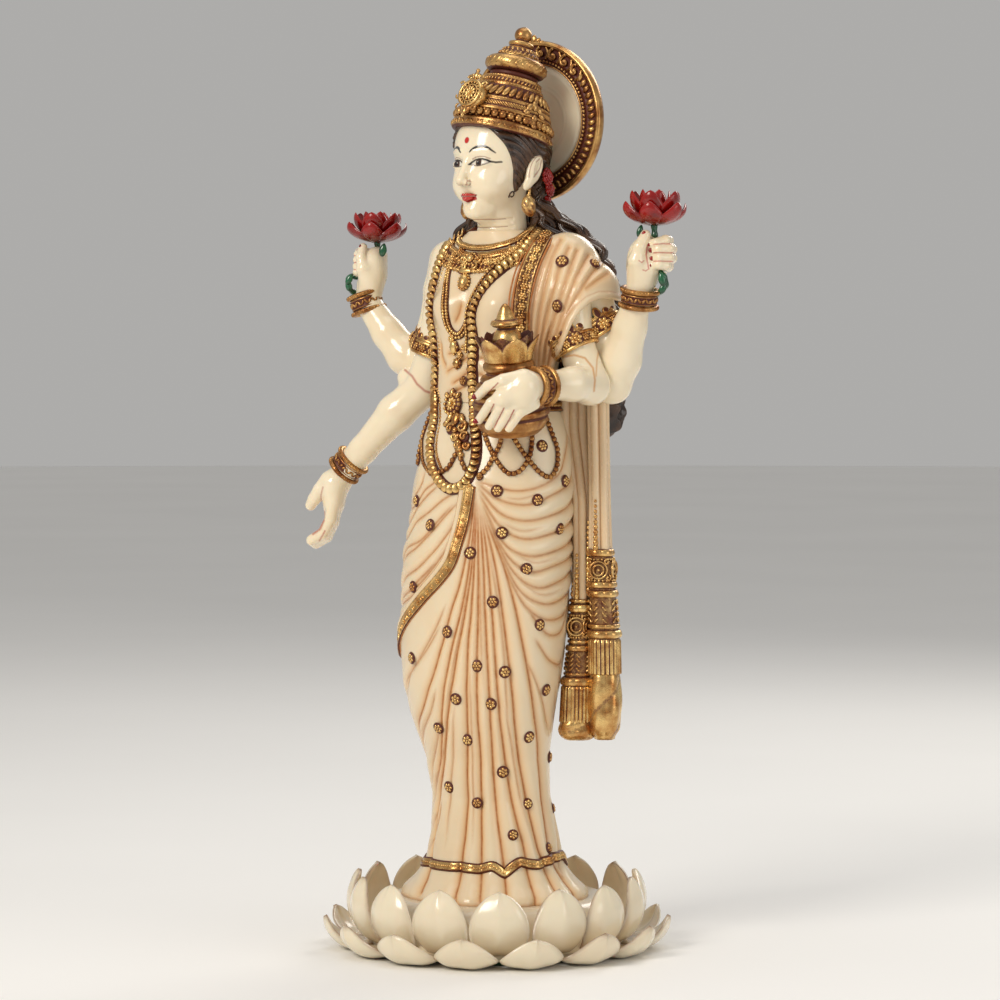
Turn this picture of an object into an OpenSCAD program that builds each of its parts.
// Standing four-armed deity statuette on a lotus pedestal, cast in marble-dust resin.
// Frame: millimetres, +Z up, the figure faces -Y, its own left hand side is +X.
// Origin: centre of the flat underside of the pedestal.

/* [Pedestal] */
// Radius of the pedestal's core disc
base_r = 47; // [44:0.5:49]
// Height of the top of the pedestal's core
base_h = 19; // [17:0.5:20]
// Number of petals in each ring
petal_count = 15; // [12:1:16]
// Thickness of the felt pad under the pedestal
felt_t = 1.5; // [1:0.25:2]

/* [Figure] */
// Height of the joint between skirt casting and torso casting
waist_z = 200; // [198:0.5:202]
// Radius of the steel rod cast into the figure
rod_r = 2; // [1.5:0.25:2.5]
// Radius of the upper arm
arm_r = 6.6; // [6:0.2:7]

/* [Crown and halo] */
// Radius of the crown's lower band
crown_r = 18.4; // [18:0.1:18.8]
// Backward tilt of the crown in degrees
crown_tilt = 19; // [17:0.5:20]
// Outer radius of the halo
halo_r = 29; // [28:0.25:30]
// Width of the halo's ornamental rim
halo_rim_w = 8.6; // [8:0.2:9]

/* [Lotus flowers] */
// Overall radius of the lotus flower held in each raised hand
flower_r = 10.4; // [9.5:0.1:11]

/* [Hidden] */
$fn = 48;
gap = 0.05;
crown_o = [0, 2.1, 298];
halo_c = [0, 23.4, 306.6];
pot_c = [26, -23.3];

// Body sections: height, half width in X, half depth in Y, centre X, centre Y
SECT = [
  [19.5, 35.5, 32.5, 0, -1.5], [22, 35, 32, 0, -1.5], [26, 30.5, 27.5, 0, -1.5], [31, 26.5, 24, 0, -1.5], [42, 24.5, 21.5, 0, -1.5],
  [56, 23, 19, -0.6, -2.6], [71, 24, 20.5, -1.4, -4.2], [86, 27.5, 24, -2.2, -6], [97, 30, 26, -2.4, -6.4],
  [111, 31.5, 27.5, -2.2, -5.8], [129, 32.6, 28, -1.8, -5], [144, 33, 28, -1.4, -3.8], [159, 32, 26.5, -0.8, -2],
  [170, 31.5, 26, -0.4, -1], [177, 30.5, 24.6, 0, -0.6], [188, 28.5, 22.2, 0, -0.2], [196, 25.6, 19.4, 0, 0],
  [202, 24, 18, 0, 0], [213, 24, 17.5, 0, 0.6], [225, 27, 18.2, 0, 1.6], [236, 29.6, 18.8, 0, 2.8],
  [248, 30.5, 17, 0, 4], [254, 27, 14.6, 0, 4.4], [258, 21, 12.8, 0, 4], [261, 14.5, 11.4, 0, 3.4],
  [264, 10.4, 10, 0, 3], [290, 10.4, 10, 0, 3]];
function col(k) = [for (s = SECT) [s[0], s[k]]];
function sa(z) = lookup(z, col(1));
function sb(z) = lookup(z, col(2));
function sx(z) = lookup(z, col(3));
function sy(z) = lookup(z, col(4));
// difference of two angles, folded to -180..180
function dang(a, b) = let (d = (a - b) % 360) d > 180 ? d - 360 : d < -180 ? d + 360 : d;
// bust: two smooth mounds on the chest
function bust(t, z) = 5.6 * (exp(-pow(dang(t, 299) / 19, 2)) + exp(-pow(dang(t, 241) / 19, 2))) * exp(-pow((z - 234.5) / 9, 2));
function body_r(t, z) = 1 / sqrt(pow(cos(t) / sa(z), 2) + pow(sin(t) / sb(z), 2)) + bust(t, z);
// a point on the body's skin at angle t and height z, lifted outwards by off
function skin(t, z, off = 0) = [sx(z) + (body_r(t, z) + off) * cos(t), sy(z) + (body_r(t, z) + off) * sin(t), z];

// ---- general closed solids ----
function mean(v) = [for (k = [0:2]) let (s = [for (p = v) p[k]]) (s * [for (p = v) 1]) / len(v)];
// rows of closed loops, each loop anticlockwise seen from the last row
module loft(rows) {
  m = len(rows); n = len(rows[0]);
  pts = concat([for (r = rows) each r], [mean(rows[0]), mean(rows[m - 1])]);
  polyhedron(pts, concat(
    [for (i = [0:m - 2]) for (j = [0:n - 1]) let (a = i * n + j, b = i * n + (j + 1) % n, c = (i + 1) * n + (j + 1) % n, d = (i + 1) * n + j) each [[a, d, c], [a, c, b]]],
    [for (j = [0:n - 1]) [m * n, j, (j + 1) % n]],
    [for (j = [0:n - 1]) [m * n + 1, (m - 1) * n + (j + 1) % n, (m - 1) * n + j]]));
}
// a sheet with two faces: A is the outer grid, B the inner one; rows run up and columns run right seen from outside
module slab(A, B, ring = false) {
  m = len(A); k = len(A[0]); N = m * k; J = ring ? k - 1 : k - 2;
  pts = concat([for (r = A) each r], [for (r = B) each r]);
  polyhedron(pts, concat(
    [for (i = [0:m - 2]) for (j = [0:J]) let (a = i * k + j, b = i * k + (j + 1) % k, c = (i + 1) * k + (j + 1) % k, d = (i + 1) * k + j) each [[a, d, c], [a, c, b], [N + a, N + b, N + c], [N + a, N + c, N + d]]],
    [for (j = [0:J]) let (a = j, b = (j + 1) % k, c = (m - 1) * k + (j + 1) % k, d = (m - 1) * k + j) each [[a, b, N + b], [a, N + b, N + a], [d, N + d, N + c], [d, N + c, c]]],
    ring ? [] : [for (i = [0:m - 2]) let (a = i * k, d = (i + 1) * k, b = a + k - 1, c = d + k - 1) each [[a, N + a, N + d], [a, N + d, d], [b, c, N + c], [b, N + c, N + b]]]));
}
// part of the body's skin between two heights and two angles
module skin_patch(ts, zs, f0, f1, ring = false) {
  slab([for (i = [0:len(zs) - 1]) [for (t = ts) skin(t, zs[i], f1[i])]], [for (i = [0:len(zs) - 1]) [for (t = ts) skin(t, zs[i], f0[i])]], ring);
}
// a flat strip that follows a path of [angle, height] points over the skin
module skin_strip(path, w, lift, thick) {
  n = len(path);
  side = [for (i = [0:n - 1]) let (p = path[max(i - 1, 0)], q = path[min(i + 1, n - 1)], r = body_r(path[i][0], path[i][1]),
    dx = (q[0] - p[0]) * PI / 180 * r, dz = q[1] - p[1], l = norm([dx, dz])) [-dz / l / r * 180 / PI, dx / l]];
  slab([for (s = [-0.5, 0, 0.5]) [for (i = [0:n - 1]) skin(path[i][0] + side[i][0] * s * w, path[i][1] + side[i][1] * s * w, lift + thick)]],
       [for (s = [-0.5, 0, 0.5]) [for (i = [0:n - 1]) skin(path[i][0] + side[i][0] * s * w, path[i][1] + side[i][1] * s * w, lift)]]);
}
function unit(v) = v / norm(v);
// a round limb through points pts with radii rs, flattened by k across its second direction
module limb(pts, rs, n = 12, k = 1, ref = [0, 1, 0]) {
  m = len(pts);
  loft([for (i = [0:m - 1]) let (d = unit(pts[min(i + 1, m - 1)] - pts[max(i - 1, 0)]), u = unit(cross(ref, d)), v = cross(d, u))
    [for (j = [0:n - 1]) pts[i] + rs[i] * (u * cos(360 * j / n) + k * v * sin(360 * j / n))]]);
}
module mirror_x() { mirror([1, 0, 0]) children(); }
module along(p, d) { // places a +Z child at p, turned to point along d
  l = norm(d);
  translate(p) rotate([0, acos(d[2] / l), atan2(d[1], d[0])]) children();
}
module crown_frame() { translate(crown_o) rotate([-crown_tilt, 0, 0]) children(); }
module rod_bore() { translate([0, 2, 8]) cylinder(r = rod_r + gap, h = 270); }

// ---- pedestal ----
module base_felt() { color("darkgreen") cylinder(r = base_r - 3, h = felt_t); }
module base_core() {
  color("ivory") difference() {
    rotate_extrude() polygon([[0, felt_t], [base_r - 2, felt_t], [base_r, felt_t + 2], [base_r - 2.5, 10], [base_r - 5, base_h - 3], [base_r - 8, base_h], [0, base_h]]);
    rod_bore();
  }
}
// one petal: rows from root to tip along a curve in the radial plane, columns across
module petal(roots, w, t) {
  m = len(roots);
  function half(i) = w / 2 * sin(25 + 155 * pow(i / (m - 1), 1.25));
  function row(i, off) = let (h = max(half(i), 0.7), nrm = roots[i][2]) [for (s = [-1, -0.5, 0, 0.5, 1])
    [roots[i][0] - 0.22 * h * s * s + off * cos(nrm), s * h, roots[i][1] + off * sin(nrm)]];
  slab([for (i = [0:m - 1]) row(i, t)], [for (i = [0:m - 1]) row(i, 0)]);
}
module ring_of_petals(a0, roots, w, t) {
  color("ivory") for (k = [0:petal_count - 1]) rotate([0, 0, a0 + 360 / petal_count * k]) petal(roots, w, t);
}
module base_petals_lower() { ring_of_petals(-41, [[47.9, 2, -30], [52, 2.2, -45], [56.5, 4.4, -40], [60, 8.4, -25], [62, 13.6, -12]], 19.5, 1.8); }
module base_petals_upper() { ring_of_petals(-53, [[47.3, 7.4, -10], [50, 11, -15], [51.4, 16, -6], [51.4, 22, 6], [50.4, 27.8, 14]], 18.6, 2); }

// ---- draped figure ----
module body_loft(zs) { loft([for (z = zs) [for (j = [0:31]) skin(11.25 * j, z)]]); }
module skirt() {
  color("wheat") difference() {
    body_loft([19, 22, 26, 31, 42, 56, 64, 71, 78, 86, 97, 104, 111, 120, 129, 137, 144, 152, 159, 165, 170, 177, 183, 188, 193, 196, waist_z]);
    rod_bore();
  }
}
module torso() {
  color("wheat") difference() {
    intersection() {
      body_loft([waist_z, 205, 209, 213, 219, 225, 229, 232, 236, 240, 244, 248, 251, 254, 256, 258, 261]);
      translate([-28, -60, 190]) cube([56, 120, 90]);
    }
    rod_bore();
    for (s = [-1, 1]) translate([s * 22, 7, 246.5]) rotate([0, s * 90, 0]) cylinder(r = 1.5 + gap, h = 12);
  }
}
module hem_band() { color("goldenrod") skin_patch([for (j = [0:35]) 10 * j], [32, 34.5, 37], [gap, gap, gap], [0.8, 1.4, 0.8], true); }
border_path = [[256, 169], [254, 163], [251, 157], [246, 151], [239, 145], [231, 139], [223, 133], [214, 127], [205, 121], [197, 116], [188, 112], [176, 108.5]];
module sari_border_band() { color("goldenrod") skin_strip(border_path, 5, gap, 1.3); }
motifs = [[268, 158], [287, 170], [304, 164], [284, 146], [300, 141], [322, 150], [334, 160], [266, 138], [322, 128], [301, 117], [279, 128], [346, 140],
  [252, 118], [273, 107], [288, 106], [314, 100], [256, 92], [277, 90], [240, 84], [262, 78], [298, 76], [318, 68], [284, 64], [256, 60], [269, 56],
  [300, 54], [318, 50], [288, 45], [306, 41], [226, 146], [212, 158], [224, 104], [208, 92], [214, 78], [20, 150], [38, 134], [14, 120], [50, 112], [28, 98], [8, 84],
  [62, 146], [84, 128], [104, 148], [126, 130], [148, 146], [168, 126], [72, 96], [96, 82], [120, 100], [144, 86], [166, 98], [184, 150], [190, 84], [180, 64], [150, 58], [110, 56], [70, 60], [34, 62], [350, 56]];
module sari_motifs() { color("goldenrod") for (m = motifs) let (p = skin(m[0], m[1], gap + 0.35)) translate(p) rotate([0, 90, m[0]]) cylinder(r = 2, h = 0.9, $fn = 24); }

// ---- waist ornaments ----
module waist_belt() { color("goldenrod") skin_patch([for (j = [0:35]) 10 * j], [199.5, 201.5, 204, 206], [0.3, 0.3, 0.3, 0.3], [1.4, 2.2, 2.2, 1.4], true); }
module belt_buckle() {
  color("goldenrod") union() {
    skin_patch([258, 264, 270, 276, 282], [187, 191, 196, 201, 206, 209], [2.6, 2.6, 2.6, 2.6, 2.6, 2.6], [3.6, 4.6, 5, 5, 4.6, 3.6]);
    skin_patch([265, 270, 275], [171, 176, 181, 187.2], [0.3, 0.3, 0.3, 2.6], [1.6, 2.6, 2.8, 3.6]);
  }
}
function swag(t0, t1, z0, drop) = [for (i = [0:10]) [t0 + (t1 - t0) * i / 10, z0 - drop * 4 * (i / 10) * (1 - i / 10)]];
module belt_chains() {
  color("goldenrod") {
    skin_strip(swag(283.5, 309, 197, 19), 1.6, 0.4, 1.5);
    skin_strip(swag(311, 344, 197, 17), 1.6, 0.4, 1.5);
    skin_strip(swag(226, 256.4, 197, 16), 1.6, 0.4, 1.5);
  }
}

// ---- drape over the left shoulder and the hanging end ----
module shoulder_drape() {
  color("wheat") union() {
    skin_patch([for (t = [304:7:353]) t], [206.5, 212, 219, 226, 232, 238, 243, 247, 251, 254, 256, 258, 259.6], [for (i = [0:12]) i > 3 && i < 6 ? 0.3 : 0.3], [2.2, 2.6, 3, 3, 2.8, 2.6, 2.4, 2.4, 2.4, 2.4, 2.4, 2, 1.4]);
    skin_patch([for (t = [27:8:67]) t], [206.5, 212, 219, 226, 232, 238, 243, 247, 251, 254, 256, 258, 259.6], [for (i = [0:12]) 0.3], [for (i = [0:12]) i == 12 ? 1.4 : 2.4]);
  }
}
module drape_border() { color("goldenrod") skin_strip([[308, 256.5], [306, 252], [304.5, 246], [303.5, 240]], 4.6, 2.75, 1.2); }
module pallu_tail() { color("wheat") loft([for (i = [0:8]) let (z = 142 + 60 * i / 8, w = 8.4 - 2.6 * i / 8, c = [41 - 0.6 * i / 8, 9]) [for (j = [0:11]) [c[0] + w * 0.62 * cos(30 * j), c[1] + w * sin(30 * j), z]]]); }
module pallu_gold_end() { color("goldenrod") loft([for (i = [0:7]) let (z = 78 + 64 * i / 7, w = 10.6 - 2 * i / 7, c = [42 - i / 7, 9]) [for (j = [0:11]) [c[0] + w * 0.62 * cos(30 * j), c[1] + w * sin(30 * j), z]]]); }

// ---- head, hair, ears and their jewels ----
// head sections: height, half width, half depth, centre Y
HEAD = [[261.2, 9.6, 9.2, 3.2], [264, 9.2, 9, 3], [267.4, 9.2, 9.4, 1.8], [268.6, 9.8, 13, -1.2], [271, 12, 15.4, -1], [275, 14, 16.4, 0.2], [280, 15.6, 17, 1], [286, 16.6, 17.6, 1.8], [292, 17, 18.4, 2.6], [298, 17, 19, 3], [304, 16.6, 19, 3.2]];
module head_loft() { loft([for (s = HEAD) [for (j = [0:23]) [s[1] * cos(15 * j), s[3] + s[2] * sin(15 * j), s[0]]]]); }
module head() {
  color("ivory") difference() {
    union() {
      head_loft();
      for (s = [-1, 1]) translate([s * 16.4, 4.6, 283.5]) rotate([0, s * 90, 0]) cylinder(r = 4.2, h = 2.6);
    }
    crown_frame() translate([-40, -40, -2]) cube([80, 80, 40]);
    rod_bore();
  }
}
// the hair's outer outline: a rounded box behind the back
function hair_out(t, z) = let (w = lookup(z, [[182, 33], [200, 35], [225, 36], [244, 35], [252, 30], [259, 24], [264, 21.5], [286, 19.5]]), d = lookup(z, [[182, 25], [192, 29], [225, 30], [244, 27], [252, 24], [262, 20], [286, 20.2]]))
  let (r = 1 / pow(pow(abs(cos(t)) / w, 3.4) + pow(abs(sin(t)) / d, 3.4), 1 / 3.4)) [r * cos(t), 3.6 + r * sin(t), z];
// its inner face lies on the drape, the neck and the head
function hair_in(t, z) = z < 259 ? skin(t, z, 3.2) : let (w = lookup(z, [[259, 17], [262, 12.6], [266, 12.6], [272, 14.6], [280, 17.4], [286, 18.2]]), d = lookup(z, [[259, 15.4], [262, 14.6], [266, 14.8], [272, 16.4], [286, 17.6]])) [w * cos(t), 3 + d * sin(t), z];
module hair_back() {
  zs = [182, 187, 193, 200, 210, 220, 230, 238, 244, 248, 252, 255.5, 258.9, 262, 266, 271, 276, 281, 286];
  ts = [for (i = [0:16]) 30 + 7.5 * i];
  color("saddlebrown") slab([for (z = zs) [for (t = ts) hair_out(t, z)]], [for (z = zs) [for (t = ts) hair_in(t, z)]]);
}
module hair_front() { // side locks from under the crown down to the ears
  color("saddlebrown") for (s = [-1, 1]) slab(
    [for (r = [[286, 17.4], [290, 18.4], [294, 18.7], [297, 18.6]]) [for (k = [0:4]) let (y = -8 + 4 * k, x = r[1] * sqrt(1 - pow((y - 2.6) / 23, 2)) + 0.4) [s > 0 ? x : -r[1] * sqrt(1 - pow((8 - 4 * k - 2.6) / 23, 2)) - 0.4, s > 0 ? y : 8 - 4 * k, r[0] + 0.16 * (s > 0 ? -y : 4 * k - 8)]]],
    [for (r = [[286, 16.85], [290, 17.2], [294, 17.25], [297, 17.2]]) [for (k = [0:4]) let (y = -8 + 4 * k, x = r[1] * sqrt(1 - pow((y - 2.6) / 23, 2)) + 0.2) [s > 0 ? x : -r[1] * sqrt(1 - pow((8 - 4 * k - 2.6) / 23, 2)) - 0.2, s > 0 ? y : 8 - 4 * k, r[0] + 0.16 * (s > 0 ? -y : 4 * k - 8)]]]);
}
module hair_flower() { color("firebrick") for (s = [-1, 1]) for (k = [0:2]) translate([s * (17.6 - 0.8 * k), 13.4 + 0.5 * k, 281.5 - 4.4 * k]) sphere(r = 2.1); }
module earring_left() { color("goldenrod") translate([18.2, 3.6, 273.6]) union() { sphere(r = 3.1); translate([0, 0, 2.6]) cylinder(r = 0.9, h = 3); } }
module earring_right() { mirror_x() earring_left(); }

// ---- crown and halo ----
module crown_band() { color("goldenrod") crown_frame() rotate_extrude() polygon([[0, -1.95], [crown_r - 1, -1.95], [crown_r + 0.4, -1.4], [crown_r + 0.4, 1.6], [crown_r - 0.2, 2.2], [crown_r + 0.3, 3.2], [crown_r + 0.3, 5.4], [crown_r - 0.6, 6], [0, 6]]); }
module crown_dome() {
  color("goldenrod") difference() {
    crown_frame() rotate_extrude() polygon([[0, 6], [17.6, 6], [17.4, 9], [16.4, 12], [14.8, 15], [12.6, 18], [10.4, 20], [9.6, 22], [9.4, 24.6], [0, 24.6]]);
    translate([0, 9, 308]) rotate([-90, 0, 0]) cylinder(r = 1 + gap, h = 14);
  }
}
module crown_ring() { color("goldenrod") crown_frame() translate([0, 0, 27.6]) rotate_extrude() union() { translate([7.6, 0]) circle(r = 3); translate([0, -3]) square([7.6, 6]); } }
module crown_finial() { color("goldenrod") crown_frame() rotate_extrude() polygon([[0, 30.6], [7, 30.6], [6.8, 32.4], [5.2, 34], [3.6, 34.6], [4.6, 35.2], [4.6, 36], [2.4, 36.8], [3.1, 38.2], [3.4, 39.6], [3, 41.2], [1.8, 42.3], [0, 42.8]]); }
module crown_medallion() {
  color("goldenrod") difference() {
    crown_frame() translate([0, -22.4, 7]) rotate([-90, 0, 0]) union() {
      cylinder(r = 5.4, h = 6);
      translate([0, -6.6, 0]) cylinder(r = 2.2, h = 6);
      translate([-1.5, -5.6, 0.6]) cube([3, 2.4, 4]);
      translate([0, 5.6, 0.8]) cylinder(r = 2.4, h = 4);
    }
    crown_frame() rotate_extrude() polygon([[0, -3], [crown_r + 0.5, -3], [crown_r + 0.5, 6.1], [17.7, 6.1], [17.5, 9], [16.5, 12], [14.9, 15], [0, 15]]);
  }
}
module halo_disc() {
  color("ivory") difference() {
    translate(halo_c) rotate([-90, 0, 0]) rotate_extrude() polygon([[0, 1.4], [halo_r - halo_rim_w - 4, 1], [halo_r - halo_rim_w, 0], [halo_r - halo_rim_w, 3], [0, 3]]);
    translate([0, 9, 308]) rotate([-90, 0, 0]) cylinder(r = 1 + gap, h = 16.6);
  }
}
module halo_rim() { color("goldenrod") translate(halo_c) rotate([-90, 0, 0]) rotate_extrude() polygon([[halo_r - halo_rim_w, -0.6], [halo_r - 1.4, -1.2], [halo_r, 0.2], [halo_r, 2.6], [halo_r - 1, 3.6], [halo_r - halo_rim_w, 3.4]]); }

// ---- necklaces ----
module collar_necklace() { color("goldenrod") skin_patch([for (t = [196:8:344]) t], [255.2, 257, 259, 260.9], [0.3, 0.3, 0.3, 0.3], [1.3, 1.8, 1.8, 1.2]); }
module pendant_necklace() { color("goldenrod") skin_strip([[218, 253], [226, 246], [234, 239], [243, 232.4], [252, 228], [262, 226], [270, 225.6], [278, 226], [288, 228]], 2.4, 0.5, 1.6); }
module long_garland() {
  color("goldenrod") {
    skin_strip([[206, 250], [209, 244], [211, 236], [213, 228], [214, 220], [215, 212], [216, 207.6]], 2.8, 0.8, 2);
    skin_strip([[216, 197.6], [217, 192], [220, 185], [226, 178], [236, 172.6], [246, 170.6], [255, 170.4], [262.8, 173]], 2.8, 0.6, 2);
  }
}

// ---- arms ----
lsh = [28.05, 7, 246.5];
module upper_arm() { limb([lsh, lsh + [4.4, 0, -0.4], lsh + [8.6, 0.4, -3.4], [37.8, 8, 234], [38.8, 8.4, 224], [40.4, 8.4, 214], [41.8, 8, 207], [41.8, 8, 203.6]], [8.2, 8.6, 8.2, 7.2, 6.8, arm_r, 6, 3.2], 14, 1.2); }
module raised_forearm(w, h) { limb([[42.6, 8.6, 205], [46.6, 7.6, 211.4], [53, 5, 221.6], [58.6, 2.4, 231], w, h, h + [0.4, 1.6, 7.4]], [4.4, 6.2, 6, 5, 4.2, 7.2, 4.6], 14, 0.86); }
module arm_left_rear() {
  color("ivory") difference() {
    union() { upper_arm(); raised_forearm([62.6, 1, 238], [64.4, 4.4, 250]); }
    translate([22, 7, 246.5]) rotate([0, 90, 0]) cylinder(r = 1.5 + gap, h = 12.05);
    translate([41.8, -2, 208.6]) rotate([-90, 0, 0]) cylinder(r = 1.2 + gap, h = 12.05);
  }
}
module arm_right_rear() {
  mirror_x() arm_left_rear();
}
// front forearms start on a flat seam face on the elbow's front
module forearm_left_front() {
  color("ivory") difference() {
    limb([[41.8, 0.4, 208.4], [42, -7, 208.6], [42.3, -15, 208], [42.2, -24, 206.4], [39.4, -31.4, 206.4], [34.6, -37.4, 204], [29.2, -39.6, 199], [26.4, -40.2, 194.4]], [6.2, 6, 5.2, 4.3, 4.8, 4.6, 3, 1.6], 14, 0.8, [0, 0, 1]);
    translate([41.8, -2, 208.6]) rotate([-90, 0, 0]) cylinder(r = 1.2 + gap, h = 12.05);
  }
}
module forearm_right_front() {
  color("ivory") difference() {
    limb([[-41.8, 0.4, 208.4], [-43.4, -2.4, 204.4], [-48, -4.4, 198], [-56, -6.4, 187.4], [-63, -8.3, 178], [-66.6, -10.8, 168.6], [-69.4, -13, 160], [-72, -15.2, 151.6], [-73.6, -16.4, 147.6]], [6.2, 6.4, 6, 5, 4, 5.2, 4.6, 2.8, 1.6], 14, 0.9);
    translate([-41.8, -2, 208.6]) rotate([-90, 0, 0]) cylinder(r = 1.2 + gap, h = 12.05);
    translate([-60, 0.5, 190]) cube([30, 30, 30]);
  }
}
module ring_at(p, d, r, w, t) { along(p, d) translate([0, 0, -w / 2]) difference() { cylinder(r = r + t, h = w); translate([0, 0, -1]) cylinder(r = r, h = w + 2); } }
module armlet_left() { color("goldenrod") translate([39.4, 8.4, 220]) difference() { scale([0.84, 1, 1]) cylinder(r = 10.4, h = 6); translate([0, 0, -1]) scale([0.82, 1, 1]) cylinder(r = 8.9, h = 8); } }
module armlet_right() { mirror_x() armlet_left(); }
module bangles_left_rear() { color("goldenrod") ring_at([61.6, 1.2, 236.4], [3.7, -1.4, 7], 5.1, 7, 1.5); }
module bangles_right_rear() { mirror_x() bangles_left_rear(); }
module bangles_left_front() { color("goldenrod") ring_at([42.3, -22.4, 206.7], [0, -9, -1.4], 5.2, 6.6, 1.5); }
module bangles_right_front() { color("goldenrod") ring_at([-61.2, -7.8, 180.4], [-7, -1.9, -9.4], 5.1, 7.6, 1.5); }

// ---- flowers held in the raised hands ----
function petal_wave(t, k) = pow(abs(cos(t * k / 2)), 1.3); // 1 on each of k petal tips, 0 between them
// rows of the flower: height, radius between petals, reach of the petals, rise of the petals, petals, turn
BLOOM = [[-4.4, 3.2, 0, 0, 9, 0], [-2.6, 5, 0.6, 0, 9, 0], [-0.8, 5.4, 3, 0.5, 9, 0], [0.6, 5.4, flower_r - 5.8, 1.2, 9, 0], [1.6, 5.2, flower_r - 5.4, 2, 9, 0], [2.2, 4.9, 2.2, 1.6, 9, 0],
  [2.6, 4.5, 0.6, 0.4, 9, 0], [3.4, 4.2, 1.2, 1.4, 8, 22], [4.2, 3.7, 1.4, 2, 8, 22], [4.2, 3, 0.2, 0.6, 8, 22], [3.2, 2.2, 0, 0, 8, 22]];
module lotus(c) {
  color("crimson") loft([for (r = BLOOM) [for (j = [0:71]) let (t = 5 * j, w = petal_wave(t + r[5], r[4])) c + [(r[1] + r[2] * w) * cos(t), (r[1] + r[2] * w) * sin(t), r[0] + r[3] * w]]]);
}
module lotus_left() { lotus([63.6, 7.6, 267]); }
module lotus_right() { lotus([-63.2, 8, 264.6]); }
module lotus_stem(s, z) { color("darkgreen") limb([[s * 71.4, 6.4, 242], [s * 72.6, 7.2, 246.4], [s * 71.9, 9, 251], [s * 69.2, 10.4, 256], [s * 66.6, 9.6, z - 1.2]], [0.9, 1.4, 1.3, 1.1, 1], 10); }
module lotus_stem_left() { lotus_stem(1, 261.2); }
module lotus_stem_right() { lotus_stem(-1, 258.8); }

// ---- pot carried on the left hip ----
module pot_body() { color("goldenrod") translate([pot_c[0], pot_c[1], 0]) rotate_extrude() polygon([[0, 190.6], [5.4, 190.6], [6.2, 193], [8.6, 196.4], [9.9, 200.6], [10, 204.6], [9, 208.4], [7.6, 210.4], [8.8, 211.6], [10.4, 212.6], [10.4, 213.8], [0, 213.8]]); }
module pot_lotus_cup() { color("goldenrod") translate([pot_c[0], pot_c[1], 213.8]) union() { cylinder(r1 = 8.2, r2 = 9.6, h = 6); for (k = [0:7]) rotate([0, 0, 45 * k]) translate([8.4, 0, 4]) rotate([0, 20, 0]) cylinder(r1 = 2.8, r2 = 0.6, h = 6.4); } }
module pot_lid() { color("goldenrod") translate([pot_c[0], pot_c[1], 0]) rotate_extrude() polygon([[0, 219.9], [5.2, 219.9], [5.4, 223], [4.6, 225.4], [5.6, 226], [5.6, 227.4], [3.8, 228.2], [3, 231], [1.6, 234], [0, 236]]); }

// ---- steel inside ----
module armature_rod() { color("silver") translate([0, 2, 8.1]) cylinder(r = rod_r, h = 266); }
module shoulder_pins() { color("silver") for (s = [-1, 1]) translate([s * 22.2, 7, 246.5]) rotate([0, s * 90, 0]) cylinder(r = 1.5, h = 11.6); }
module elbow_pins() { color("silver") for (s = [-1, 1]) translate([s * 41.8, -1.8, 208.6]) rotate([-90, 0, 0]) cylinder(r = 1.2, h = 11.6); }
module halo_pin() { color("silver") translate([0, 9.2, 308]) rotate([-90, 0, 0]) cylinder(r = 1, h = 16.2); }

base_felt();
base_core();
base_petals_lower();
base_petals_upper();
skirt();
hem_band();
sari_border_band();
sari_motifs();
torso();
waist_belt();
belt_buckle();
belt_chains();
shoulder_drape();
drape_border();
pallu_tail();
pallu_gold_end();
head();
hair_back();
hair_front();
hair_flower();
crown_band();
crown_dome();
crown_ring();
crown_finial();
crown_medallion();
halo_disc();
halo_rim();
earring_left();
earring_right();
collar_necklace();
pendant_necklace();
long_garland();
arm_left_rear();
arm_right_rear();
forearm_left_front();
forearm_right_front();
armlet_left();
armlet_right();
bangles_left_rear();
bangles_right_rear();
bangles_left_front();
bangles_right_front();
lotus_left();
lotus_right();
lotus_stem_left();
lotus_stem_right();
pot_body();
pot_lotus_cup();
pot_lid();
armature_rod();
shoulder_pins();
elbow_pins();
halo_pin();
